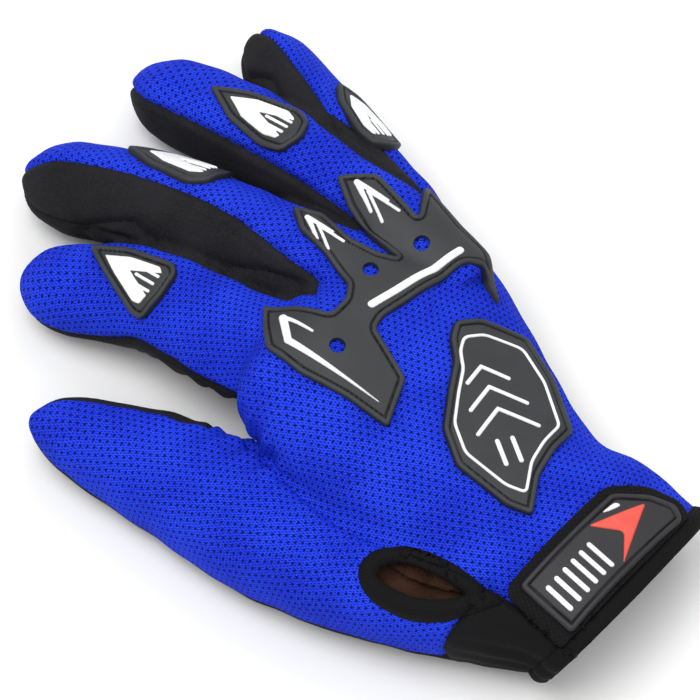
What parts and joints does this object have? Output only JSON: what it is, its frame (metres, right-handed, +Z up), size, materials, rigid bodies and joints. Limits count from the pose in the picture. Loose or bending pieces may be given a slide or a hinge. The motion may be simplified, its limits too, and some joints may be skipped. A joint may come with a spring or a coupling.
{
  "type": "motorcycle glove",
  "caption": "Right-hand full-finger motorcycle glove of mesh cloth with a moulded knuckle guard, finger guards, back patch and wrist strap tab, lying palm down.",
  "frame": {"origin": "centre of the glove's box at the floor it lies on", "axes": "+Y from the cuff towards the fingertips, +X towards the little finger, -X towards the thumb, +Z up from the palm to the back of the hand"},
  "size_m": [0.1628, 0.2332, 0.0551],
  "materials": {
    "blue_mesh": "blue air mesh",
    "black_cloth": "plain black stretch cloth",
    "binding": "black woven binding tape",
    "lining": "brown brushed lining",
    "strap_cloth": "black woven strap",
    "rubber": "satin dark grey moulded rubber",
    "white_rubber": "satin white moulded rubber",
    "red_rubber": "satin red moulded rubber"
  },
  "bodies": {
    "root": {"back_panel": "blue_mesh", "thumb_panel": "blue_mesh", "palm_panel": "black_cloth", "index_ulnar_strip": "black_cloth", "middle_radial_strip": "black_cloth", "middle_ulnar_strip": "black_cloth", "ring_radial_strip": "black_cloth", "ring_ulnar_strip": "black_cloth", "little_radial_strip": "black_cloth", "cuff_binding": "binding", "slit_binding": "binding", "cuff_lining": "lining", "wrist_strap": "strap_cloth", "strap_tab": "rubber", "knuckle_guard": "rubber", "hand_patch": "rubber", "index_guard": "rubber", "middle_guard": "rubber", "ring_guard": "rubber", "little_guard": "rubber", "strap_accent": "white_rubber", "knuckle_bar": "white_rubber", "index_bolt": "white_rubber", "middle_chevron": "white_rubber", "ring_chevron": "white_rubber", "patch_outline": "white_rubber", "strap_bar_1": "white_rubber", "strap_bar_2": "white_rubber", "strap_bar_3": "white_rubber", "strap_bar_4": "white_rubber", "strap_bar_5": "white_rubber", "strap_bar_6": "white_rubber", "index_wedge": "white_rubber", "middle_wedge": "white_rubber", "ring_wedge": "white_rubber", "little_wedge": "white_rubber", "strap_stripe": "red_rubber"}
  },
  "joints": []
}
